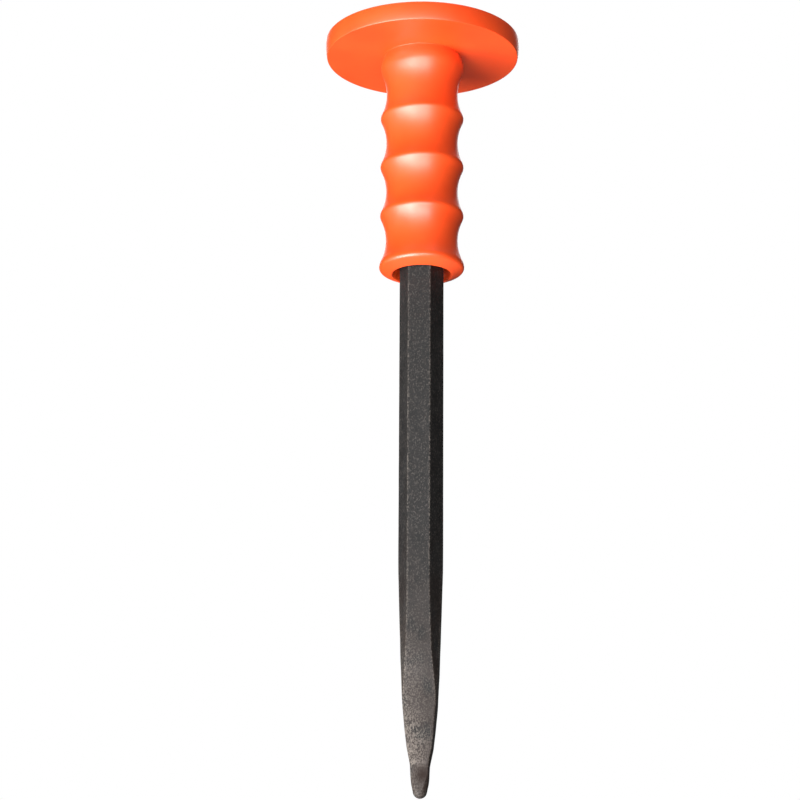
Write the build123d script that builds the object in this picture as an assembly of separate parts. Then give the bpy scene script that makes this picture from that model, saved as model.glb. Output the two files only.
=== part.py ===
from build123d import *
import math
import os

# Long point chisel with a hand guard: a hexagonal steel bar, drawn down at one end to a blunt
# four-sided point, and a one-piece soft grip with a round guard, pushed on over the struck end.
# Units are millimetres. The origin is the tip of the point, +Z runs up the bar's axis to the
# struck face, and one flat of the hexagon faces -Y.

# The bar
BAR_LENGTH = 400.0
HEX_ACROSS_FLATS = 19.0
HEX_EDGE_RADIUS = 0.5  # rolled edges of the hexagon
STRUCK_FACE_DIAMETER = 14.5
HEAD_CHAMFER_ANGLE = 43.0  # from the struck face down
HEAD_EDGE_RADIUS = 0.6

# The point's narrow sides, facing +X and -X, which cut away two of the hexagon's corners
SIDE_TAPER_TOP = 112.0
SIDE_BEND_HEIGHT = 67.0
SIDE_BEND_INSET = 1.7  # in from the hexagon's corner
SIDE_BROW_HEIGHT = 24.0  # below the brow the sides turn in more steeply, down to the shoulder
SIDE_BROW_WIDTH = 12.3

# The point's broad faces, facing +Y and -Y
FACE_TAPER_TOP = 100.0
FACE_BEND_HEIGHT = 74.0
FACE_BEND_INSET = 0.9  # in from the hexagon's flat
FACE_WAIST_HEIGHT = 50.0
FACE_WAIST_THICKNESS = 11.9

# The blunt nose, set in a little from the four faces above it
SHOULDER_HEIGHT = 18.0
SHOULDER_WIDTH = 9.9
SHOULDER_THICKNESS = 7.9
NOSE_INSET = 0.4  # on each side
NOSE_STEP = 2.4
NOSE_END_WIDTH = 7.6
NOSE_END_THICKNESS = 6.4
NOSE_RADIUS = 3.4
NOSE_CONE_ANGLE = 12.0  # between the nose's rounded corners and the axis

# The guard
HEAD_STANDOUT = 11.5  # how far the struck face stands above the guard's flat top
GUARD_DIAMETER = 97.0
GUARD_THICKNESS = 9.4
GUARD_TOP_INSET = 0.25  # the rim is barrelled, so both its edges lie inside the full radius
GUARD_BOTTOM_INSET = 0.6
GUARD_EDGE_RADIUS = 0.8
COLLAR_DIAMETER = 31.0
COLLAR_HEIGHT = 3.0
COLLAR_EDGE_RADIUS = 1.2
COLLAR_ROOT_RADIUS = 1.5

# The sleeve below the guard. Its crests are given as they are before they are rounded
NECK_DIAMETER = 37.0  # where the sleeve meets the guard
NECK_ROOT_RADIUS = 0.8
BULB_DIAMETER = 43.2
BULB_DROP = 7.2
BULB_CREST_RADIUS = 9.0
RIDGE_COUNT = 3
RIDGE_PITCH = 26.0
RIDGE_DIAMETER = 42.1
RIDGE_CREST_RADIUS = 3.0
FIRST_RIDGE_DROP = 33.3
GROOVE_DIAMETER = 35.5
LIP_DIAMETER = 42.0
LIP_DROP = 25.9  # below the lowest ridge
LIP_CREST_RADIUS = 1.2
LIP_SIDE = 2.4  # straight, before the lip turns in to the mouth
LIP_DEPTH = 5.7
LIP_OUTER_RADIUS = 3.0  # less where the mouth's cone is so flat that it would not fit the side
LIP_INNER_RADIUS = 0.8
MOUTH_DIAMETER = 28.6
MOUTH_DEPTH = 12.5
MOUTH_CONE_LENGTH = 4.0
BORE_CLEARANCE = 0.0  # the soft bore grips the bar's flats, so the two meet face to face

MARGIN = 5.0  # how far each cutting shape reaches past the stock

HALF_FLATS = HEX_ACROSS_FLATS / 2
HALF_CORNERS = HALF_FLATS / math.cos(math.radians(30))
BORE_ACROSS_FLATS = HEX_ACROSS_FLATS + 2 * BORE_CLEARANCE
GUARD_TOP = BAR_LENGTH - HEAD_STANDOUT
GUARD_BOTTOM = GUARD_TOP - GUARD_THICKNESS
BULB_HEIGHT = GUARD_BOTTOM - BULB_DROP
RIDGE_HEIGHTS = [GUARD_BOTTOM - FIRST_RIDGE_DROP - i * RIDGE_PITCH for i in range(RIDGE_COUNT)]
LIP_HEIGHT = RIDGE_HEIGHTS[-1] - LIP_DROP
SLEEVE_BOTTOM = LIP_HEIGHT - LIP_DEPTH
LIP_TURN = math.atan2((LIP_DIAMETER - MOUTH_DIAMETER) / 2, LIP_DEPTH - LIP_SIDE)
LIP_CORNER_RADIUS = min(LIP_OUTER_RADIUS, 0.8 * LIP_SIDE / math.tan(LIP_TURN / 2))


def hexagon(across_flats):
    """A hexagon about the axis, with flats facing +Y and -Y."""
    return RegularPolygon(across_flats / 2, 6, major_radius=False)


def rounded(outline, corner, radius):
    """An outline with the corner at a given point rounded."""
    return fillet(outline.vertices().sort_by_distance(Vector(*corner))[0], radius)


def turned(outline):
    """The solid that an outline of (radius, height) points makes when it is turned on the axis."""
    return revolve(Plane.XZ * outline, Axis.Z)


def run_out(bend, half, taper_top):
    """Where the straight line from a bend to the taper's top, carried on upwards, is clear of the stock."""
    slope = (half - bend[0]) / (taper_top - bend[1])
    return (half + slope * MARGIN, taper_top + MARGIN)


def symmetric_outline(right_side):
    """The outline between the edges of a right side, from its top down to the tip, and their mirror image."""
    left_side = [mirror(edge, about=Plane.YZ) for edge in right_side]
    top = right_side[0] @ 0
    tip = right_side[-1] @ 1
    lid = Line((top.X, top.Y), (-top.X, top.Y))
    floor = Line((tip.X, tip.Y), (-tip.X, tip.Y))
    return make_face([*right_side, *left_side, lid, floor])


def taper_start(bend, half, taper_top):
    """The edges from above the bar's head down outside the stock, in, and down the straight taper."""
    start = run_out(bend, half, taper_top)
    outside = (start[0] + MARGIN, start[1])
    head = (outside[0], BAR_LENGTH + MARGIN)
    return [Line(head, outside), Line(outside, start), Line(start, bend)]


def nose_side(shoulder, end_half):
    """The edges from the shoulder in over the small step and straight down to the level of the tip."""
    step = (shoulder[0] - NOSE_INSET, shoulder[1] - NOSE_STEP)
    return [Line(shoulder, step), Line(step, (end_half, 0))]


def narrow_sides():
    """The outline that shapes the sides facing +X and -X: a straight taper, a bend, then the brow."""
    bend = (HALF_CORNERS - SIDE_BEND_INSET, SIDE_BEND_HEIGHT)
    brow = (SIDE_BROW_WIDTH / 2, SIDE_BROW_HEIGHT)
    shoulder = (SHOULDER_WIDTH / 2, SHOULDER_HEIGHT)
    upper = taper_start(bend, HALF_CORNERS, SIDE_TAPER_TOP)
    curve = TangentArc(bend, brow, tangent=upper[-1] % 1)
    below = [Line(brow, shoulder), *nose_side(shoulder, NOSE_END_WIDTH / 2)]
    return symmetric_outline([*upper, curve, *below])


def broad_faces():
    """The outline that shapes the faces +Y and -Y: a straight taper, then a curve in to the waist."""
    bend = (HALF_FLATS - FACE_BEND_INSET, FACE_BEND_HEIGHT)
    waist = (FACE_WAIST_THICKNESS / 2, FACE_WAIST_HEIGHT)
    shoulder = (SHOULDER_THICKNESS / 2, SHOULDER_HEIGHT)
    upper = taper_start(bend, HALF_FLATS, FACE_TAPER_TOP)
    below_waist = Vector(*shoulder) - Vector(*waist)
    curve = Spline(bend, waist, shoulder, tangents=[upper[-1] % 1, below_waist.normalized()])
    return symmetric_outline([*upper, curve, *nose_side(shoulder, NOSE_END_THICKNESS / 2)])


def nose_cone():
    """A ball-ended cone that rounds off the tip and the nose's four corners."""
    angle = math.radians(NOSE_CONE_ANGLE)
    touch = (NOSE_RADIUS * math.cos(angle), NOSE_RADIUS * (1 - math.sin(angle)))
    middle = (math.pi / 2 - angle) / 2
    ball = ThreePointArc(
        (0, 0), (NOSE_RADIUS * math.sin(middle), NOSE_RADIUS * (1 - math.cos(middle))), touch
    )
    height = BAR_LENGTH + MARGIN
    rim = (touch[0] + (height - touch[1]) * math.tan(angle), height)
    return turned(make_face([ball, Polyline(touch, rim, (0, height), (0, 0))]))


def head_chamfer():
    """A cylinder round the stock whose top is chamfered down to the struck face."""
    face_edge = (STRUCK_FACE_DIAMETER / 2, BAR_LENGTH)
    radius = HALF_CORNERS + MARGIN
    chamfer_foot = BAR_LENGTH - (radius - face_edge[0]) * math.tan(math.radians(HEAD_CHAMFER_ANGLE))
    points = [(0, -MARGIN), (radius, -MARGIN), (radius, chamfer_foot), face_edge, (0, BAR_LENGTH)]
    outline = make_face(Polyline(*points, close=True))
    return turned(rounded(outline, face_edge, HEAD_EDGE_RADIUS))


def chisel_bar():
    """The forged bar: hexagonal shank, chamfered struck head and four-sided blunt point."""
    section = hexagon(HEX_ACROSS_FLATS)
    bar = extrude(fillet(section.vertices(), HEX_EDGE_RADIUS), BAR_LENGTH)
    reach = HALF_CORNERS + MARGIN
    bar = bar & extrude(Plane.XZ * narrow_sides(), reach, both=True)
    bar = bar & extrude(Plane.YZ * broad_faces(), reach, both=True)
    return bar & nose_cone() & head_chamfer()


def groove(upper, lower):
    """The hollow arc between two crests, as deep as the groove's diameter half-way down."""
    middle = (GROOVE_DIAMETER / 2, (upper[1] + lower[1]) / 2)
    return ThreePointArc(upper, middle, lower)


def grip_outline():
    """The grip's outline on one side of the axis, from the collar round the rim and down the sleeve."""
    rim = GUARD_DIAMETER / 2
    collar_top = (COLLAR_DIAMETER / 2, GUARD_TOP + COLLAR_HEIGHT)
    collar_root = (COLLAR_DIAMETER / 2, GUARD_TOP)
    rim_top = (rim - GUARD_TOP_INSET, GUARD_TOP)
    rim_bottom = (rim - GUARD_BOTTOM_INSET, GUARD_BOTTOM)
    upper_share = math.sqrt(GUARD_TOP_INSET)
    lower_share = math.sqrt(GUARD_BOTTOM_INSET)
    rim_drop = GUARD_THICKNESS * upper_share / (upper_share + lower_share)
    neck = (NECK_DIAMETER / 2, GUARD_BOTTOM)
    bulb = (BULB_DIAMETER / 2, BULB_HEIGHT)
    ridges = [(RIDGE_DIAMETER / 2, height) for height in RIDGE_HEIGHTS]
    lip = (LIP_DIAMETER / 2, LIP_HEIGHT)
    lip_bottom = (LIP_DIAMETER / 2, LIP_HEIGHT - LIP_SIDE)
    mouth = (MOUTH_DIAMETER / 2, SLEEVE_BOTTOM)
    mouth_wall_top = (mouth[0], SLEEVE_BOTTOM + MOUTH_DEPTH - MOUTH_CONE_LENGTH)
    mouth_top = (BORE_ACROSS_FLATS / 2, SLEEVE_BOTTOM + MOUTH_DEPTH)

    crests = [bulb, *ridges, lip]
    outline = make_face(
        [
            Polyline((0, collar_top[1]), collar_top, collar_root, rim_top),
            ThreePointArc(rim_top, (rim, GUARD_TOP - rim_drop), rim_bottom),
            Polyline(rim_bottom, neck, bulb),
            *[groove(upper, lower) for upper, lower in zip(crests, crests[1:])],
            Polyline(lip, lip_bottom, mouth, mouth_wall_top, mouth_top),
            Polyline(mouth_top, (0, mouth_top[1]), (0, collar_top[1])),
        ]
    )
    corners = [
        (collar_top, COLLAR_EDGE_RADIUS),
        (collar_root, COLLAR_ROOT_RADIUS),
        (rim_top, GUARD_EDGE_RADIUS),
        (rim_bottom, GUARD_EDGE_RADIUS),
        (neck, NECK_ROOT_RADIUS),
        (bulb, BULB_CREST_RADIUS),
        *[(ridge, RIDGE_CREST_RADIUS) for ridge in ridges],
        (lip, LIP_CREST_RADIUS),
        (lip_bottom, LIP_CORNER_RADIUS),
        (mouth, LIP_INNER_RADIUS),
    ]
    for corner, radius in corners:
        outline = rounded(outline, corner, radius)
    return outline


def guard_grip():
    """The soft moulding: guard, ribbed sleeve and open mouth round the bar, with a hexagonal bore."""
    bore = extrude(hexagon(BORE_ACROSS_FLATS), BAR_LENGTH + MARGIN)
    return turned(grip_outline()) - bore


os.makedirs("parts", exist_ok=True)
for name, solid in [("chisel_bar", chisel_bar()), ("guard_grip", guard_grip())]:
    export_step(solid, f"parts/{name}.step")
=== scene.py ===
"""Point chisel with a hand guard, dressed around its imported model.

The tool is a forged hexagonal bar, drawn down to a blunt point, with a soft moulded grip and
guard pushed on over its struck end. Lengths in the classes are millimetres unless a name says
otherwise; meshes are metres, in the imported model's frame, with the tip at the origin.
"""

import logging
import math
from dataclasses import dataclass
from enum import Enum
from typing import Any

import bmesh
import bpy
import numpy as np
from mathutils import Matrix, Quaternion, Vector, noise


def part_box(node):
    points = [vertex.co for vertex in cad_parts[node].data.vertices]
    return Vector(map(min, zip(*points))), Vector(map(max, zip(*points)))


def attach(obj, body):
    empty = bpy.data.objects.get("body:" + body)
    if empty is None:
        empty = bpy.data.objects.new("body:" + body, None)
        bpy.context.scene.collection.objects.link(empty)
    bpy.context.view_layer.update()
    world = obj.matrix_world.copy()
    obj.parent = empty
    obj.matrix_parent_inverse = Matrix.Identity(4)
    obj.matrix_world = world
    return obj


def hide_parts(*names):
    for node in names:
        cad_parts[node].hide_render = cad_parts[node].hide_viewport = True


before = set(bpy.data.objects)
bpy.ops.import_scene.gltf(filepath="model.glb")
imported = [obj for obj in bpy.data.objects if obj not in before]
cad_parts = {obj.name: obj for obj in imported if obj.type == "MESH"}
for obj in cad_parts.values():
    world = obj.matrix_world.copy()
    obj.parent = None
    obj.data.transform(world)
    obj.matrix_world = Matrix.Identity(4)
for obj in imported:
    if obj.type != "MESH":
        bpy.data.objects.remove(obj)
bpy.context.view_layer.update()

MM = 0.001
WELD_DISTANCE = 1e-6
HEX_HALF_FACE = 30  # degrees from the middle of a hexagon's flat to its corner
GRAZING = 0.05  # the least cosine that a flat is divided by, so that its reach stays finite
WAVE_RADIANS = 20  # a Wave Texture's rings run through this many radians for each unit of scale
CORNER_FACTS = (  # what the grip's outline says at each corner, its kind and its unit
    ("round", "FLOAT", MM),
    ("sleeve", "FLOAT", 1),
    ("bore", "FLOAT", 1),
    ("cuts", "INT", 1),
)
log = logging.getLogger("chisel")


# ---------------------------------------------------------------- shared helpers


def linear(colour: str) -> tuple[float, float, float, float]:
    """Turns an sRGB hex colour into linear light, by the standard's own curve.

    Args:
        colour: six hex digits, such as "F4602A".

    Returns:
        Red, green, blue and an alpha of 1.
    """
    channels = [int(colour[i : i + 2], 16) / 255 for i in (0, 2, 4)]
    lit = [c / 12.92 if c <= 0.04045 else ((c + 0.055) / 1.055) ** 2.4 for c in channels]
    return (*lit, 1.0)


def add_object(name: str, data: Any) -> bpy.types.Object:
    """Makes an object around a mesh, lamp or camera, and puts it in the scene."""
    made = bpy.data.objects.new(name, data)
    bpy.context.scene.collection.objects.link(made)
    return made


def add_node(
    tree: bpy.types.NodeTree, kind: str, feeds: dict[Any, Any] | None = None, **settings: Any
) -> bpy.types.Node:
    """Adds one node, sets its properties, and feeds its inputs.

    Args:
        tree: the shader or geometry tree.
        kind: Blender's name for the node's type.
        feeds: for each input's name or number, the value or the output socket that goes in.
        settings: properties of the node itself, such as operation.

    Returns:
        The node.
    """
    node = tree.nodes.new(kind)
    for name, value in settings.items():
        setattr(node, name, value)
    for key, value in (feeds or {}).items():
        if isinstance(value, bpy.types.NodeSocket):
            tree.links.new(value, node.inputs[key])
        else:
            node.inputs[key].default_value = value
    return node


def calculate(
    tree: bpy.types.NodeTree, operation: str, *terms: Any, **settings: Any
) -> bpy.types.NodeSocket:
    """Adds one step of arithmetic.

    Args:
        tree: the shader or geometry tree.
        operation: Blender's name for the step.
        terms: its numbers or sockets, in order.
        settings: further properties of the node.

    Returns:
        The socket with the result.
    """
    feeds = dict(enumerate(terms))
    node = add_node(tree, "ShaderNodeMath", feeds, operation=operation, **settings)
    return node.outputs["Value"]


def remap(
    tree: bpy.types.NodeTree,
    value: bpy.types.NodeSocket,
    source: tuple[float, float],
    target: tuple[Any, Any] = (0.0, 1.0),
    **settings: Any,
) -> bpy.types.NodeSocket:
    """Carries a value from one range to another, and holds it beyond the ends.

    Args:
        tree: the shader tree.
        value: the socket to carry over.
        source: the value's two ends, which may run downwards.
        target: what the result is at each end, as numbers or sockets.
        settings: further properties of the node.

    Returns:
        The socket with the result.
    """
    feeds = {"Value": value, "From Min": source[0], "From Max": source[1]}
    feeds |= {"To Min": target[0], "To Max": target[1]}
    return add_node(tree, "ShaderNodeMapRange", feeds, **settings).outputs["Result"]


def mix(
    tree: bpy.types.NodeTree, share: Any, first: Any, second: Any, kind: str = "FLOAT"
) -> bpy.types.NodeSocket:
    """Blends two numbers, or two colours where the kind is RGBA.

    Args:
        tree: the shader tree.
        share: how much of the second shows, from 0 to 1.
        first: what shows where the share is 0.
        second: what shows where the share is 1.
        kind: Blender's name for what is blended.

    Returns:
        The socket with the blend.
    """
    feeds = {"Factor": share, "A": first, "B": second}
    return add_node(tree, "ShaderNodeMix", feeds, data_type=kind).outputs["Result"]


def speckle(
    tree: bpy.types.NodeTree,
    place: bpy.types.NodeSocket,
    size_mm: float,
    detail: float,
    roughness: float,
) -> bpy.types.NodeSocket:
    """Adds noise with features size_mm apart, and gives its socket."""
    feeds = {"Vector": place, "Scale": 1000.0 / size_mm, "Detail": detail, "Roughness": roughness}
    return add_node(tree, "ShaderNodeTexNoise", feeds).outputs["Fac"]


def colour_between(
    tree: bpy.types.NodeTree,
    value: bpy.types.NodeSocket,
    ends: tuple[float, float],
    colours: tuple[str, str],
) -> bpy.types.NodeSocket:
    """Turns a value into a colour that runs from the first at one end to the second."""
    ramp = add_node(tree, "ShaderNodeValToRGB", {"Fac": value})
    for element, position, colour in zip(ramp.color_ramp.elements, ends, colours):
        element.position = position
        element.color = linear(colour)
    return ramp.outputs["Color"]


def new_material(name: str) -> bpy.types.Material:
    """An empty node material."""
    material = bpy.data.materials.new(name)
    material.use_nodes = True
    material.node_tree.nodes.clear()
    return material


def finish_piece(piece: bpy.types.Object, node: str, sharp_degrees: float) -> None:
    """Welds, smooths and files a finished mesh as what shows in place of a CAD node.

    Args:
        piece: the object, at the origin.
        node: the CAD node that it replaces.
        sharp_degrees: edges that turn by more than this stay crisp.
    """
    mesh = piece.data
    work = bmesh.new()
    work.from_mesh(mesh)
    bmesh.ops.remove_doubles(work, verts=work.verts, dist=WELD_DISTANCE)
    bmesh.ops.recalc_face_normals(work, faces=work.faces)
    work.to_mesh(mesh)
    work.free()
    mesh.shade_smooth()
    mesh.set_sharp_from_angle(angle=math.radians(sharp_degrees))
    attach(piece, "root")
    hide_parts(node)


# ---------------------------------------------------------------- finishes


@dataclass(frozen=True)
class MouldedSoftPvc:
    """Plasticised PVC from a satin steel mould: an even, slightly waxy orange.

    The eye gets broad soft highlights with no sharp glints, and colour that is deepest where
    the moulding turns away from the light.
    """

    colour: str = "FA5114"
    worn_colour: str = "F64B12"
    roughness: float = 0.4
    roughness_spread: float = 0.03  # either way, with the mottling
    ior: float = 1.53
    specular_level: float = 1.0
    scatter_share: float = 0.05
    scatter_radius: tuple[float, float, float] = (1.0, 0.35, 0.12)  # red light goes furthest
    scatter_depth_mm: float = 1.2
    mottle_mm: float = 22.0
    tint_range: tuple[float, float] = (0.35, 0.65)  # of the mottling, as for the next
    sheen_range: tuple[float, float] = (0.3, 0.7)
    grain_mm: float = 0.7
    grain_strength: float = 0.12
    grain_height_mm: float = 0.02

    def material(self) -> bpy.types.Material:
        """The finish as a node material."""
        material = new_material("moulded_soft_pvc_satin")
        tree = material.node_tree
        place = add_node(tree, "ShaderNodeTexCoord").outputs["Object"]

        # pigment is not quite even from one part of the moulding to the next
        mottle = speckle(tree, place, self.mottle_mm, detail=3.0, roughness=0.5)
        tint = colour_between(tree, mottle, self.tint_range, (self.worn_colour, self.colour))

        # the mould's fine matt texture, drawn coarser than the real 0.1 mm so that it shows
        grain = speckle(tree, place, self.grain_mm, detail=2.0, roughness=0.6)
        spread = (self.roughness - self.roughness_spread, self.roughness + self.roughness_spread)
        rough = remap(tree, mottle, self.sheen_range, spread)
        relief = {
            "Height": grain,
            "Strength": self.grain_strength,
            "Distance": self.grain_height_mm * MM,
        }
        shader = add_node(
            tree,
            "ShaderNodeBsdfPrincipled",
            {
                "Base Color": tint,
                "Roughness": rough,
                "IOR": self.ior,
                "Specular IOR Level": self.specular_level,
                "Subsurface Weight": self.scatter_share,
                "Subsurface Radius": self.scatter_radius,
                "Subsurface Scale": self.scatter_depth_mm * MM,
                "Normal": add_node(tree, "ShaderNodeBump", relief).outputs["Normal"],
            },
        )
        add_node(tree, "ShaderNodeOutputMaterial", {"Surface": shader.outputs["BSDF"]})
        return material


@dataclass(frozen=True)
class ForgedToolSteel:
    """Hot-forged tool steel under its scale and a thin black lacquer.

    The eye gets a near-black bar, finely speckled grey and patchy in its sheen. It is lighter and
    a little brown on the drawn point, where the lacquer is thin and the scale has flaked, and
    has a dark brown heat stain on the nose, rubbed edges, and a bright turned struck face.

    The ranges are of the noise that the effect follows, and each share is how far it goes.
    """

    lacquer: str = "0A0909"
    scale: str = "151211"
    speck: str = "413C39"
    bare: str = "8D847C"
    stain: str = "1E0F07"
    temper: str = "2A1C15"
    turned: str = "B4B2AE"
    smooth_roughness: float = 0.57
    coarse_roughness: float = 0.74
    sheen_range: tuple[float, float] = (0.35, 0.65)
    bare_roughness: float = 0.55
    speck_mm: float = 0.65
    crust_mm: float = 2.6
    patch_mm: float = 8.0
    rolled_scale: float = 0.7  # of the noise along the bar, so that it is drawn out
    crust_range: tuple[float, float] = (0.36, 0.66)
    speck_range: tuple[float, float] = (0.5, 0.72)
    speck_share: float = 0.8
    crust_weight: float = 0.8  # in the relief, where the specks weigh 1
    pit_strength: float = 0.6
    pit_depth_mm: float = 0.09
    bare_heights_mm: tuple[float, float] = (135.0, 12.0)  # the lacquer thins from, and to
    thinning: float = 3.2  # how suddenly it thins
    temper_range: tuple[float, float] = (0.64, 0.46)
    temper_share: float = 0.75
    patch_range: tuple[float, float] = (0.3, 0.7)
    patch_bareness: tuple[float, float] = (0.5, 1.0)
    grain_range: tuple[float, float] = (0.43, 0.6)
    edge_wear: float = 0.65
    barer_across_mm: tuple[float, float] = (4.5, -6.0)  # along X, from the darker side to the barer, lighter side
    side_bareness: tuple[float, float] = (0.25, 1.45)
    soot_heights_mm: tuple[float, float] = (14.0, 18.5)
    soot_bareness: float = 0.3
    stain_place_mm: tuple[float, float, float] = (1.7, -3.6, 10.6)
    stain_reach_mm: float = 6.0
    stain_share: float = 0.9
    stain_roughness: float = 0.95
    turned_depths_mm: tuple[float, float] = (0.4, 0.1)  # under the struck face, it fades in
    ring_mm: float = 0.6  # between the tool's rings, for each radian of their wave
    ring_waver: float = 0.4
    seed: float = 4.7

    def material(self, length: float) -> bpy.types.Material:
        """The finish as a node material.

        Args:
            length: the bar's length in metres, where the struck face is.

        Returns:
            The material.
        """
        material = new_material("forged_tool_steel_black_lacquer")
        tree = material.node_tree
        place = add_node(tree, "ShaderNodeTexCoord").outputs["Object"]
        parts = add_node(tree, "ShaderNodeSeparateXYZ", {"Vector": place}).outputs
        height = parts["Z"]

        # forge scale is drawn out along the bar by rolling; its specks are really about 0.3 mm
        # apart, and are drawn coarser so that they show
        stretch = {
            "Vector": place,
            "Location": (0, 0, self.seed),
            "Scale": (1.0, 1.0, self.rolled_scale),
        }
        along = add_node(tree, "ShaderNodeMapping", stretch).outputs["Vector"]
        specks = speckle(tree, along, self.speck_mm, detail=2.0, roughness=0.6)
        crust = speckle(tree, along, self.crust_mm, detail=3.0, roughness=0.6)
        patches = speckle(tree, along, self.patch_mm, detail=4.0, roughness=0.55)
        scaled = colour_between(tree, crust, self.crust_range, (self.lacquer, self.scale))
        speckled = remap(
            tree,
            specks,
            self.speck_range,
            (0.0, self.speck_share),
            interpolation_type="SMOOTHSTEP",
        )
        black = mix(tree, speckled, scaled, linear(self.speck), "RGBA")

        # the lacquer thins towards the point, where the steel's brown temper tint shows through
        thin = remap(tree, height, tuple(z * MM for z in self.bare_heights_mm))
        tempered = remap(tree, patches, self.temper_range, (0.0, self.temper_share))
        browned = calculate(tree, "MULTIPLY", tempered, thin)
        dark = mix(tree, browned, black, linear(self.temper), "RGBA")

        # it flakes in patches, more towards -X, and least on the sooty nose
        patchy = remap(tree, patches, self.patch_range, self.patch_bareness)
        across = tuple(x * MM for x in self.barer_across_mm)
        one_sided = remap(tree, parts["X"], across, self.side_bareness)
        soot_heights = tuple(z * MM for z in self.soot_heights_mm)
        sooty = remap(tree, height, soot_heights, (self.soot_bareness, 1.0))
        flaked = calculate(tree, "POWER", thin, self.thinning)
        for factor in (patchy, one_sided, sooty):
            flaked = calculate(tree, "MULTIPLY", flaked, factor)

        # it is rubbed off the edges too, and every bare spot is broken up by the specks
        worn = add_node(tree, "ShaderNodeAttribute", attribute_name="edge").outputs["Fac"]
        rubbed = calculate(tree, "MULTIPLY", worn, patchy)
        share = calculate(tree, "MULTIPLY_ADD", rubbed, self.edge_wear, flaked)
        grainy = remap(tree, specks, self.grain_range)
        bare_share = calculate(tree, "MULTIPLY", share, grainy, use_clamp=True)
        skin = mix(tree, bare_share, dark, linear(self.bare), "RGBA")

        # a dull heat stain sits on one side of the nose
        ends = {0: place, 1: tuple(c * MM for c in self.stain_place_mm)}
        from_stain = add_node(tree, "ShaderNodeVectorMath", ends, operation="DISTANCE")
        stained = remap(
            tree,
            from_stain.outputs["Value"],
            (self.stain_reach_mm * MM, 0.0),
            (0.0, self.stain_share),
            interpolation_type="SMOOTHSTEP",
        )
        tinted = mix(tree, stained, skin, linear(self.stain), "RGBA")

        # the struck face is turned bright, with rings from the tool
        struck = remap(tree, height, tuple(length - d * MM for d in self.turned_depths_mm))
        rings = add_node(
            tree,
            "ShaderNodeTexWave",
            {
                "Vector": place,
                "Scale": 1000.0 / self.ring_mm / WAVE_RADIANS,
                "Distortion": self.ring_waver,
            },
            wave_type="RINGS",
            rings_direction="Z",
        ).outputs["Fac"]
        colour = mix(tree, struck, tinted, linear(self.turned), "RGBA")

        # bare spots shine as metal unless the stain covers them
        clean = calculate(tree, "SUBTRACT", 1.0, stained)
        shown = calculate(tree, "MULTIPLY", bare_share, clean)
        metal = calculate(tree, "MAXIMUM", shown, struck)
        sheen = (self.smooth_roughness, self.coarse_roughness)
        skinned = remap(tree, patches, self.sheen_range, sheen)
        rough = remap(tree, metal, (0.0, 1.0), (skinned, self.bare_roughness))
        pitted = calculate(tree, "MULTIPLY_ADD", crust, self.crust_weight, specks)
        relief = {
            "Height": mix(tree, struck, pitted, rings),
            "Strength": self.pit_strength,
            "Distance": self.pit_depth_mm * MM,
        }
        shader = add_node(
            tree,
            "ShaderNodeBsdfPrincipled",
            {
                "Base Color": colour,
                "Metallic": metal,
                "Roughness": mix(tree, stained, rough, self.stain_roughness),
                "Normal": add_node(tree, "ShaderNodeBump", relief).outputs["Normal"],
            },
        )
        add_node(tree, "ShaderNodeOutputMaterial", {"Surface": shader.outputs["BSDF"]})
        return material


# ---------------------------------------------------------------- the grip


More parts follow.
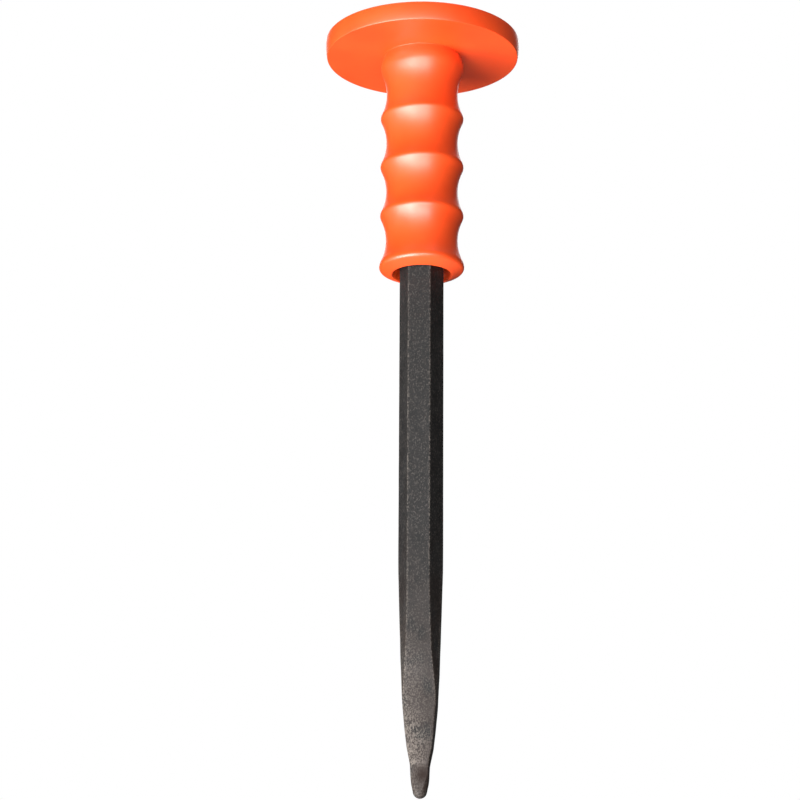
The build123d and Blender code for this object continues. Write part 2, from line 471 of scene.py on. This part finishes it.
@dataclass
class GuardGrip:
    """The one-piece moulding: guard disc, bulb, ribbed sleeve and open mouth.

    The outline's plain corners are drawn here as a few points with rounding radii. A Geometry
    Nodes tree rounds them, turns the outline on the axis, shapes the sleeve's ribs by their
    rule, and gives the bore its six flats.
    """

    guard_thickness: float = 9.4
    top_inset: float = 0.25
    bottom_inset: float = 0.6
    guard_round: float = 0.4
    collar_diameter: float = 31.0
    collar_height: float = 3.0
    collar_round: float = 1.2
    collar_root_round: float = 1.5
    neck_diameter: float = 38.5
    neck_round: float = 0.15
    bulb_diameter: float = 43.2
    bulb_drop: float = 7.2
    bulb_softness: float = 4.5
    first_ridge_drop: float = 33.3
    ridge_count: int = 3
    ridge_pitch: float = 26.0
    ridge_diameter: float = 42.1
    ridge_softness: float = 1.75
    groove_diameter: float = 35.5
    lip_diameter: float = 42.0
    lip_drop: float = 25.9
    lip_softness: float = 1.0
    lip_side: float = 2.4
    lip_depth: float = 5.7
    lip_round: float = 2.0
    mouth_diameter: float = 28.6
    mouth_round: float = 0.8
    mouth_depth: float = 12.5
    mouth_cone: float = 4.0
    mouth_floor_round: float = 1.0
    sharp_degrees: float = 32.0
    ring: float = 5.0  # radius of the circle that carries the outline round the axis
    segments: int = 240
    sleeve_cuts: int = 190
    round_steps: int = 6
    rim_steps: int = 7

    def outline(self) -> list[dict[str, float]]:
        """The outline's corners, from the bore at the collar's top round to the bore at the mouth.

        Returns:
            One row per corner: radius and height, the radius it is rounded to, the cuts to make
            before the next corner, and whether it lies on the sleeve or on the bore.
        """
        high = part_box("guard_grip")[1]
        across_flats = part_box("chisel_bar")[1].y / MM * 2
        rim = high.x / MM
        collar_top = high.z / MM
        top = collar_top - self.collar_height
        bottom = top - self.guard_thickness
        mouth_end = bottom - self.first_ridge_drop - (self.ridge_count - 1) * self.ridge_pitch
        mouth_end -= self.lip_drop + self.lip_depth
        bore, collar, mouth = across_flats / 2, self.collar_diameter / 2, self.mouth_diameter / 2
        neck, lip = self.neck_diameter / 2, self.lip_diameter / 2
        neck_foot = bottom - 2 * self.neck_round
        neck_slope = (self.bulb_diameter - self.neck_diameter) / 2 / self.bulb_drop

        rows = [
            {"r": bore, "z": collar_top, "bore": 1},
            {"r": collar, "z": collar_top, "round": self.collar_round},
            {"r": collar, "z": top, "round": self.collar_root_round},
        ]
        shares = [math.sqrt(self.top_inset), -math.sqrt(self.bottom_inset)]
        for step in range(self.rim_steps):
            t = step / (self.rim_steps - 1)
            share = shares[0] + (shares[1] - shares[0]) * t
            end = step in (0, self.rim_steps - 1)
            rows.append(
                {
                    "r": rim - share**2,
                    "z": top - self.guard_thickness * t,
                    "round": self.guard_round if end else 0,
                }
            )
        rows += [
            {"r": neck, "z": bottom, "round": self.neck_round},
            {
                "r": neck + (bottom - neck_foot) * neck_slope,
                "z": neck_foot,
                "sleeve": 1,
                "cuts": self.sleeve_cuts,
            },
            {"r": lip, "z": mouth_end + self.lip_depth, "sleeve": 1},
            {"r": lip, "z": mouth_end + self.lip_depth - self.lip_side, "round": self.lip_round},
            {"r": mouth, "z": mouth_end, "round": self.mouth_round},
            {
                "r": mouth,
                "z": mouth_end + self.mouth_depth - self.mouth_cone,
                "round": self.mouth_floor_round,
            },
            {"r": bore, "z": mouth_end + self.mouth_depth, "bore": 1},
        ]
        return rows

    def outline_object(self) -> bpy.types.Object:
        """The outline as a closed loop of edges, with its corner facts as point attributes.

        The loop lies flat: X is the distance out from the carrying ring, and Y runs down the axis.
        """
        rows = self.outline()
        points = [((row["r"] - self.ring) * MM, -row["z"] * MM, 0) for row in rows]
        count = len(points)
        mesh = bpy.data.meshes.new("grip_outline")
        mesh.from_pydata(points, [(i, (i + 1) % count) for i in range(count)], [])
        for name, kind, scale in CORNER_FACTS:
            values = mesh.attributes.new(name, kind, "POINT").data
            for item, row in zip(values, rows):
                item.value = row.get(name, 0) * scale
        return add_object("grip_outline", mesh)

    def sizes(self) -> dict[str, float]:
        """The tree's inputs, in metres or as counts, worked out from the fields and the frame."""
        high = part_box("guard_grip")[1]
        bottom = high.z / MM - self.collar_height - self.guard_thickness
        bulb = bottom - self.bulb_drop
        first_ridge = bottom - self.first_ridge_drop
        last_ridge = first_ridge - (self.ridge_count - 1) * self.ridge_pitch
        lip = last_ridge - self.lip_drop
        first_groove = (bulb + first_ridge) / 2
        last_groove = (last_ridge + lip) / 2
        depth = (self.ridge_diameter - self.groove_diameter) / 2
        half_pitch = self.ridge_pitch / 2
        return {
            "Neck Height": bottom * MM,
            "Neck Radius": self.neck_diameter / 2 * MM,
            "Neck Slope": (self.bulb_diameter - self.neck_diameter) / 2 / self.bulb_drop,
            "Bulb Softness": self.bulb_softness * MM,
            "First Groove Height": first_groove * MM,
            "Groove Pitch": (first_groove - last_groove) / self.ridge_count * MM,
            "Groove Radius": self.groove_diameter / 2 * MM,
            "Groove Arc": (half_pitch**2 + depth**2) / (2 * depth) * MM,
            "Ridge Softness": self.ridge_softness * MM,
            "Lip Radius": self.lip_diameter / 2 * MM,
            "Lip Softness": self.lip_softness * MM,
            "Half Across Flats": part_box("chisel_bar")[1].y,
            "Ring Radius": self.ring * MM,
            "Segments": self.segments,
            "Round Steps": self.round_steps,
        }

    def tree(self) -> bpy.types.NodeTree:
        """The Geometry Nodes tree that turns the outline into the moulding."""
        tree = bpy.data.node_groups.new("turned_ribbed_grip", "GeometryNodeTree")
        face = tree.interface
        face.new_socket("Outline", in_out="INPUT", socket_type="NodeSocketGeometry")
        for name, value in self.sizes().items():
            kind = "NodeSocketInt" if isinstance(value, int) else "NodeSocketFloat"
            face.new_socket(name, in_out="INPUT", socket_type=kind)
        face.new_socket("Finish", in_out="INPUT", socket_type="NodeSocketMaterial")
        face.new_socket("Mesh", in_out="OUTPUT", socket_type="NodeSocketGeometry")
        given = add_node(tree, "NodeGroupInput").outputs

        # round the corners, cut the sleeve's line finely, and turn the outline on the axis
        fact = {
            name: add_node(
                tree, "GeometryNodeInputNamedAttribute", {"Name": name}, data_type=kind
            ).outputs["Attribute"]
            for name, kind, _ in CORNER_FACTS
        }
        curve = add_node(tree, "GeometryNodeMeshToCurve", {"Mesh": given["Outline"]})
        rounded = add_node(
            tree,
            "GeometryNodeFilletCurve",
            {
                "Curve": curve.outputs["Curve"],
                "Count": given["Round Steps"],
                "Radius": fact["round"],
                "Limit Radius": True,
            },
            mode="POLY",
        )
        cut = add_node(
            tree,
            "GeometryNodeSubdivideCurve",
            {"Curve": rounded.outputs["Curve"], "Cuts": fact["cuts"]},
        )
        ring = add_node(
            tree,
            "GeometryNodeCurvePrimitiveCircle",
            {"Resolution": given["Segments"], "Radius": given["Ring Radius"]},
        )
        turned = add_node(
            tree,
            "GeometryNodeCurveToMesh",
            {"Curve": ring.outputs["Curve"], "Profile Curve": cut.outputs["Curve"]},
        )

        place = add_node(tree, "GeometryNodeInputPosition").outputs["Position"]
        parts = add_node(tree, "ShaderNodeSeparateXYZ", {"Vector": place}).outputs
        flat = add_node(tree, "ShaderNodeCombineXYZ", {"X": parts["X"], "Y": parts["Y"]})
        outward = add_node(
            tree, "ShaderNodeVectorMath", {0: flat.outputs["Vector"]}, operation="NORMALIZE"
        ).outputs["Vector"]
        lift = add_node(tree, "ShaderNodeCombineXYZ", {"Z": parts["Z"]}).outputs["Vector"]
        radius = {
            "sleeve": self.sleeve_radius(tree, given, parts["Z"]),
            "bore": self.bore_radius(tree, given, parts),
        }
        mesh = turned.outputs["Mesh"]
        for region, value in radius.items():
            spoke = add_node(
                tree, "ShaderNodeVectorMath", {0: outward, "Scale": value}, operation="SCALE"
            )
            ends = {0: spoke.outputs["Vector"], 1: lift}
            target = add_node(tree, "ShaderNodeVectorMath", ends, operation="ADD")
            mesh = add_node(
                tree,
                "GeometryNodeSetPosition",
                {
                    "Geometry": mesh,
                    "Selection": calculate(tree, "GREATER_THAN", fact[region], 0.5),
                    "Position": target.outputs["Vector"],
                },
            ).outputs["Geometry"]

        real = add_node(tree, "GeometryNodeRealizeInstances", {"Geometry": mesh})
        dressed = add_node(
            tree,
            "GeometryNodeSetMaterial",
            {"Geometry": real.outputs["Geometry"], "Material": given["Finish"]},
        )
        add_node(tree, "NodeGroupOutput", {"Mesh": dressed.outputs["Geometry"]})
        return tree

    def sleeve_radius(
        self, tree: bpy.types.NodeTree, given: Any, height: bpy.types.NodeSocket
    ) -> bpy.types.NodeSocket:
        """The sleeve's radius: hollow arcs that meet in ridges, under a bulb and over a lip.

        Args:
            tree: the grip's tree.
            given: the outputs of the tree's Group Input.
            height: the socket with a point's height.

        Returns:
            The socket with the radius.
        """
        arc, groove = given["Groove Arc"], given["Groove Radius"]
        below = calculate(tree, "SUBTRACT", given["Neck Height"], height)
        radius = calculate(tree, "MULTIPLY_ADD", below, given["Neck Slope"], given["Neck Radius"])
        arc_squared = calculate(tree, "MULTIPLY", arc, arc)
        arc_axis = calculate(tree, "ADD", groove, arc)
        pitch, first = given["Groove Pitch"], given["First Groove Height"]
        for index in range(self.ridge_count + 1):
            centre = calculate(tree, "MULTIPLY_ADD", pitch, -index, first)
            offset = calculate(tree, "SUBTRACT", height, centre)
            squared = calculate(tree, "MULTIPLY", offset, offset)
            inner = calculate(tree, "SUBTRACT", arc_squared, squared)
            inner = calculate(tree, "MAXIMUM", inner, 0.0)
            reach = calculate(tree, "SQRT", inner)
            hollow = calculate(tree, "SUBTRACT", arc_axis, reach)
            softness = given["Ridge Softness" if index else "Bulb Softness"]
            radius = calculate(tree, "SMOOTH_MIN", radius, hollow, softness)
        return calculate(tree, "SMOOTH_MIN", radius, given["Lip Radius"], given["Lip Softness"])

    def bore_radius(
        self, tree: bpy.types.NodeTree, given: Any, parts: Any
    ) -> bpy.types.NodeSocket:
        """The hexagonal bore's radius in each direction, with corners on the X axis.

        Args:
            tree: the grip's tree.
            given: the outputs of the tree's Group Input.
            parts: the outputs that hold a point's X and Y.

        Returns:
            The socket with the radius.
        """
        half_face = math.radians(HEX_HALF_FACE)
        angle = calculate(tree, "ARCTAN2", parts["Y"], parts["X"])
        folded = calculate(tree, "PINGPONG", angle, half_face)
        from_flat = calculate(tree, "SUBTRACT", half_face, folded)
        cosine = calculate(tree, "COSINE", from_flat)
        return calculate(tree, "DIVIDE", given["Half Across Flats"], cosine)

    def build(self, finish: MouldedSoftPvc) -> bpy.types.Object:
        """Makes the moulding as a plain mesh.

        Args:
            finish: what it is moulded from.

        Returns:
            The finished piece.
        """
        outline = self.outline_object()
        modifier = outline.modifiers.new("turned_ribbed_grip", "NODES")
        modifier.node_group = self.tree()
        inputs = {**self.sizes(), "Finish": finish.material()}
        for item in modifier.node_group.interface.items_tree:
            if item.name in inputs and item.in_out == "INPUT":
                modifier[item.identifier] = inputs[item.name]
        evaluated = outline.evaluated_get(bpy.context.evaluated_depsgraph_get())
        mesh = bpy.data.meshes.new_from_object(evaluated)
        outline.modifiers.remove(modifier)
        bpy.data.objects.remove(outline)
        mesh.name = "guard_grip_moulding"
        piece = add_object("guard_grip_moulding", mesh)
        for name, _, _ in CORNER_FACTS:
            mesh.attributes.remove(mesh.attributes[name])
        finish_piece(piece, "guard_grip", self.sharp_degrees)
        return piece


# ---------------------------------------------------------------- the bar


@dataclass
class ForgedBar:
    """The forging: hexagonal shank, chamfered struck head and hammered four-sided point.

    Its skin is a grid in angle and height. At each height the section is the hexagon cut by the
    point's two narrow sides and two broad faces, with edges that grow softer down the point, and
    the nose is rounded. Shallow hammer marks are pressed into it.
    """

    shank_softness: float = 0.11
    nose_softness: float = 0.6
    soft_top: float = 55.0
    soft_fade: float = 1.5  # how suddenly the edges soften
    side_taper_top: float = 112.0
    side_bend: tuple[float, float] = (67.0, 9.27)  # height and half width, here and below
    side_brow: tuple[float, float] = (24.0, 6.15)
    side_shoulder: tuple[float, float] = (18.0, 4.95)
    face_taper_top: float = 100.0
    face_bend: tuple[float, float] = (74.0, 8.6)
    face_waist: tuple[float, float] = (50.0, 5.95)
    face_shoulder: tuple[float, float] = (18.0, 3.95)
    nose_inset: float = 0.4
    nose_step: float = 2.4
    nose_half_width: float = 3.8
    nose_half_thickness: float = 3.2
    nose_radius: float = 3.4
    nose_cone_degrees: float = 12.0
    struck_face_radius: float = 7.25
    head_chamfer_degrees: float = 43.0
    head_round: float = 0.25
    columns: int = 240
    nose_rows: int = 60
    nose_crowding: float = 1.4
    nose_top: float = 20.0
    point_rows: int = 150
    point_top: float = 122.0
    shank_rows: int = 110
    head_rows: int = 36
    head_depth: float = 9.0
    rolled_depth: float = 0.03
    hammered_depth: float = 0.12
    mark_size: float = 7.0
    mark_scale: float = 0.7  # of the marks along the bar, so that they are drawn out
    mark_margin: float = 6.0  # they fade out over this length at each end
    hammered_top: float = 115.0
    hammered_fade: float = 40.0
    crown: float = 0.008  # how fast the broad faces fall away from their middle, per mm
    crown_top: float = 95.0
    crown_fade: float = 35.0
    crown_reach: float = 9.0
    worn_width: float = 0.3
    sharp_degrees: float = 40.0
    seed: float = 11.0

    def heights(self, length: float) -> np.ndarray:
        """The grid's heights in mm, closest together on the nose, the point and the head."""
        head_foot = length - self.head_depth
        nose = self.nose_top * np.linspace(0, 1, self.nose_rows) ** self.nose_crowding
        point = np.linspace(self.nose_top, self.point_top, self.point_rows)[1:]
        shank = np.linspace(self.point_top, head_foot, self.shank_rows)[1:]
        head = np.linspace(head_foot, length, self.head_rows)[1:]
        return np.concatenate([nose, point, shank, head])

    def build(self, finish: ForgedToolSteel) -> bpy.types.Object:
        """Makes the forging as a plain mesh.

        Args:
            finish: its steel and lacquer.

        Returns:
            The finished piece.
        """
        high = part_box("chisel_bar")[1]
        length, half_flats = high.z / MM, high.y / MM
        z = self.heights(length)[:, None]
        angle = (np.arange(self.columns) * 2 * math.pi / self.columns)[None, :]
        flats, edge = self.flats(angle, z, half_flats)
        radius = np.minimum(flats, self.envelope(z, length))
        radius = radius - self.marks(angle, z, radius, length)
        x, y = radius * np.cos(angle), radius * np.sin(angle)
        grid = np.stack([x, y, np.broadcast_to(z, x.shape)], axis=-1) * MM
        rows, columns = x.shape
        points = [*grid.reshape(-1, 3).tolist(), (0.0, 0.0, length * MM)]
        cap = len(points) - 1
        faces = []
        for row in range(rows - 1):
            low, up = row * columns, (row + 1) * columns
            for here in range(columns):
                beside = (here + 1) % columns
                faces.append((low + here, low + beside, up + beside, up + here))
        rim = (rows - 1) * columns
        faces += [(rim + here, rim + (here + 1) % columns, cap) for here in range(columns)]
        mesh = bpy.data.meshes.new("chisel_bar_forging")
        mesh.from_pydata(points, [], faces)
        worn = mesh.attributes.new("edge", "FLOAT", "POINT").data
        worn.foreach_set("value", [*edge.reshape(-1).tolist(), 0.0])
        mesh.materials.append(finish.material(length * MM))
        piece = add_object("chisel_bar_forging", mesh)
        finish_piece(piece, "chisel_bar", self.sharp_degrees)
        return piece

    def flats(
        self, angle: np.ndarray, z: np.ndarray, half_flats: float
    ) -> tuple[np.ndarray, np.ndarray]:
        """The flats' radius in each direction, and how near each spot is to an edge.

        Args:
            angle: directions round the axis, as a row.
            z: heights, as a column.
            half_flats: half the hexagon's distance across flats.

        Returns:
            The radius in mm, and 1 on an edge falling to 0 away from it, one row per height.
        """
        facings = [math.radians(HEX_HALF_FACE + 60 * i) for i in range(6)]
        planes = [(facing, np.full_like(z, half_flats)) for facing in facings]
        planes += [(math.pi * i, self.half_width(z, half_flats)) for i in range(2)]
        share = np.clip(1 - z / self.soft_top, 0, 1) ** self.soft_fade
        softness = self.shank_softness + (self.nose_softness - self.shank_softness) * share
        reaches = [
            distance / np.maximum(np.cos(angle - facing), GRAZING) for facing, distance in planes
        ]
        crown = self.crown * np.clip((self.crown_top - z) / self.crown_fade, 0, 1)
        thick = self.half_thickness(z, half_flats)
        for side, flat in ((1, 1), (-1, 4)):  # the flats that face +Y and -Y turn into broad faces
            cosine = np.maximum(side * np.sin(angle), GRAZING)
            across = np.minimum(np.abs(thick * np.cos(angle) / cosine), self.crown_reach)
            reaches[flat] = np.minimum(reaches[flat], (thick - crown * across**2) / cosine)
        reaches = np.stack(reaches)
        radius = -softness * np.log(np.exp(-reaches / softness).sum(axis=0))
        nearest = np.sort(reaches, axis=0)
        edge = np.exp(-(nearest[1] - nearest[0]) / self.worn_width)
        return radius, edge

    def half_width(self, z: np.ndarray, half_flats: float) -> np.ndarray:
        """Half the distance between the point's narrow sides at each height."""
        corner = half_flats / math.cos(math.radians(HEX_HALF_FACE))
        (bend_z, bend), (brow_z, brow) = self.side_bend, self.side_brow
        slope = (corner - bend) / (self.side_taper_top - bend_z)
        drop = bend_z - brow_z
        curvature = (bend - slope * drop - brow) / drop**2
        below = bend_z - z
        curve = bend - slope * below - curvature * np.maximum(below, 0) ** 2
        nose = self.nose_half(z, self.side_brow, self.side_shoulder, self.nose_half_width)
        return np.where(z > brow_z, curve, nose)

    def half_thickness(self, z: np.ndarray, half_flats: float) -> np.ndarray:
        """Half the distance between the point's broad faces at each height."""
        (bend_z, bend), (waist_z, waist) = self.face_bend, self.face_waist
        shoulder_z, shoulder = self.face_shoulder
        upper = (half_flats - bend) / (self.face_taper_top - bend_z)
        lower = (waist - shoulder) / (waist_z - shoulder_z)
        straight = bend + upper * (z - bend_z)
        span = bend_z - waist_z
        t = np.clip((z - waist_z) / span, 0, 1)
        curve = (
            (2 * t**3 - 3 * t**2 + 1) * waist
            + (t**3 - 2 * t**2 + t) * span * lower
            + (3 * t**2 - 2 * t**3) * bend
            + (t**3 - t**2) * span * upper
        )
        nose = self.nose_half(z, self.face_waist, self.face_shoulder, self.nose_half_thickness)
        return np.where(z > bend_z, straight, np.where(z > waist_z, curve, nose))

    def nose_half(
        self,
        z: np.ndarray,
        above: tuple[float, float],
        shoulder: tuple[float, float],
        end: float,
    ) -> np.ndarray:
        """Half the nose's width: straight to the shoulder, in over its step, straight to the tip.

        Args:
            z: heights, as a column.
            above: height and half width where the nose begins.
            shoulder: height and half width of the shoulder.
            end: half width at the tip.

        Returns:
            The half width at each height.
        """
        step = (shoulder[0] - self.nose_step, shoulder[1] - self.nose_inset)
        points = [(0, end), step, shoulder, above]
        return np.interp(z, [point[0] for point in points], [point[1] for point in points])

    def envelope(self, z: np.ndarray, length: float) -> np.ndarray:
        """The turned shape that rounds the nose and chamfers the head.

        Args:
            z: heights, as a column.
            length: the bar's length.

        Returns:
            Its radius at each height.
        """
        cone = math.radians(self.nose_cone_degrees)
        touch = self.nose_radius * (1 - math.sin(cone))
        ball = np.sqrt(np.maximum(self.nose_radius**2 - (self.nose_radius - z) ** 2, 0))
        straight = self.nose_radius * math.cos(cone) + (z - touch) * math.tan(cone)
        nose = np.where(z < touch, ball, straight)
        chamfer = math.tan(math.radians(self.head_chamfer_degrees))
        head = self.struck_face_radius + (length - z) / chamfer
        top = self.head_round * np.clip(1 - (length - z) / self.head_round, 0, 1) ** 2
        return np.minimum(nose, head) - top

    def marks(
        self, angle: np.ndarray, z: np.ndarray, radius: np.ndarray, length: float
    ) -> np.ndarray:
        """How deep the rolling and the hammer have pressed each spot, in mm.

        Args:
            angle: directions round the axis, as a row.
            z: heights, as a column.
            radius: the unmarked radius at each spot.
            length: the bar's length.

        Returns:
            Depths that fade out at the two ends, and are never less than nothing.
        """
        share = np.clip((self.hammered_top - z) / self.hammered_fade, 0, 1)
        depth = self.rolled_depth + (self.hammered_depth - self.rolled_depth) * share
        depth = depth * np.clip(z / self.mark_margin, 0, 1)
        depth = depth * np.clip((length - z) / self.mark_margin, 0, 1)
        height = np.broadcast_to(z, radius.shape) * self.mark_scale
        spots = np.stack([radius * np.cos(angle), radius * np.sin(angle), height], axis=-1)
        spots = spots.reshape(-1, 3) / self.mark_size + self.seed
        field = np.array([noise.noise(spot) for spot in spots.tolist()]).reshape(radius.shape)
        return depth * np.clip(0.5 + field, 0, 1)


# ---------------------------------------------------------------- the studio


class Lamp(Enum):
    """The studio's soft lamps, each as its place, size and power.

    A place is an azimuth, an elevation and a distance in metres from the tool. A size is a width
    and a height in metres, and a power is in watts.
    """

    KEY = ((-43.0, -35.0, 2.6), (2.3, 2.3), 174.0)
    FRONT = ((1.0, -15.0, 2.3), (2.5, 1.05), 58.0)
    LEFT = ((-85.0, -12.0, 2.6), (2.4, 2.4), 5.0)
    BACK = ((187.0, 42.0, 2.8), (2.2, 2.2), 40.0)
    TOP = ((180.0, 84.0, 2.4), (1.8, 1.8), 34.0)


@dataclass
class Studio:
    """A pale floor, soft lamps and the camera, which looks up at the tool from below the tip."""

    aim_height: float = 0.1978
    aim_right: float = -0.01035
    distance: float = 1.8
    azimuth: float = 7.3
    elevation: float = -18.56
    roll: float = 0.3
    lens: float = 166.14
    floor_height: float = -3.4
    floor_size: float = 14.0
    floor_colour: str = "F4F4F4"
    floor_roughness: float = 0.9
    clip_end: float = 50.0
    ambient: float = 0.06

    def direction(self, azimuth: float, elevation: float) -> Vector:
        """The unit vector from the tool towards an azimuth and elevation in degrees."""
        a, e = math.radians(azimuth), math.radians(elevation)
        return Vector((math.sin(a) * math.cos(e), -math.cos(a) * math.cos(e), math.sin(e)))

    def place_camera(self) -> None:
        """Makes the camera and hands it to the scene."""
        data = bpy.data.cameras.new("camera")
        data.lens = self.lens
        data.clip_end = self.clip_end
        camera = add_object("camera", data)
        back = self.direction(self.azimuth, self.elevation)
        a = math.radians(self.azimuth)
        right = Vector((math.cos(a), math.sin(a), 0))
        target = Vector((0, 0, self.aim_height)) + right * self.aim_right
        camera.location = target + back * self.distance
        camera.rotation_mode = "QUATERNION"
        turn = Quaternion((0, 0, 1), math.radians(self.roll))
        camera.rotation_quaternion = (-back).to_track_quat("-Z", "Y") @ turn
        bpy.context.scene.camera = camera

    def place_lamps(self) -> None:
        """Hangs each lamp and aims it at the middle of the tool."""
        middle = Vector((0, 0, self.aim_height))
        for choice in Lamp:
            (azimuth, elevation, distance), (width, height), power = choice.value
            data = bpy.data.lights.new(f"lamp_{choice.name.lower()}", "AREA")
            data.shape, data.size, data.size_y, data.energy = "RECTANGLE", width, height, power
            lamp = add_object(data.name, data)
            lamp.visible_camera = False
            back = self.direction(azimuth, elevation)
            lamp.location = middle + back * distance
            lamp.rotation_mode = "QUATERNION"
            lamp.rotation_quaternion = (-back).to_track_quat("-Z", "Y")

    def lay_floor(self) -> None:
        """A plain pale floor, well below the tool so that it can be seen from underneath.

        The floor glows only as it is seen, so that it stays pale without lighting the tool.
        """
        mesh = bpy.data.meshes.new("floor")
        half = self.floor_size / 2
        corners = [(-half, -half), (half, -half), (half, half), (-half, half)]
        mesh.from_pydata([(x, y, self.floor_height) for x, y in corners], [], [(0, 1, 2, 3)])
        material = bpy.data.materials.new("pale_floor")
        material.use_nodes = True
        tree = material.node_tree
        shader = tree.nodes["Principled BSDF"]
        shader.inputs["Base Color"].default_value = linear(self.floor_colour)
        shader.inputs["Roughness"].default_value = self.floor_roughness
        shader.inputs["Emission Color"].default_value = linear(self.floor_colour)
        seen = add_node(tree, "ShaderNodeLightPath").outputs["Is Camera Ray"]
        tree.links.new(seen, shader.inputs["Emission Strength"])
        mesh.materials.append(material)
        floor = add_object("floor", mesh)

    def light_world(self) -> None:
        """A white surround: full white where it is seen, gentler as light."""
        world = bpy.data.worlds.new("white_surround")
        world.use_nodes = True
        tree = world.node_tree
        tree.nodes.clear()
        seen = add_node(tree, "ShaderNodeLightPath").outputs["Is Camera Ray"]
        strength = remap(tree, seen, (0.0, 1.0), (self.ambient, 1.0))
        feeds = {"Color": (1, 1, 1, 1), "Strength": strength}
        surround = add_node(tree, "ShaderNodeBackground", feeds)
        add_node(tree, "ShaderNodeOutputWorld", {"Surface": surround.outputs["Background"]})
        bpy.context.scene.world = world
        bpy.context.scene.view_settings.view_transform = "Standard"

    def build(self) -> None:
        """Sets up floor, surround, lamps and camera."""
        self.lay_floor()
        self.light_world()
        self.place_lamps()
        self.place_camera()


def main() -> None:
    """Builds the tool and its studio, and reports each piece."""
    logging.basicConfig(level=logging.INFO, format="%(name)s: %(message)s")
    Studio().build()
    for piece in (GuardGrip().build(MouldedSoftPvc()), ForgedBar().build(ForgedToolSteel())):
        log.info("%s: %d faces", piece.name, len(piece.data.polygons))


if __name__ == "__main__":
    main()
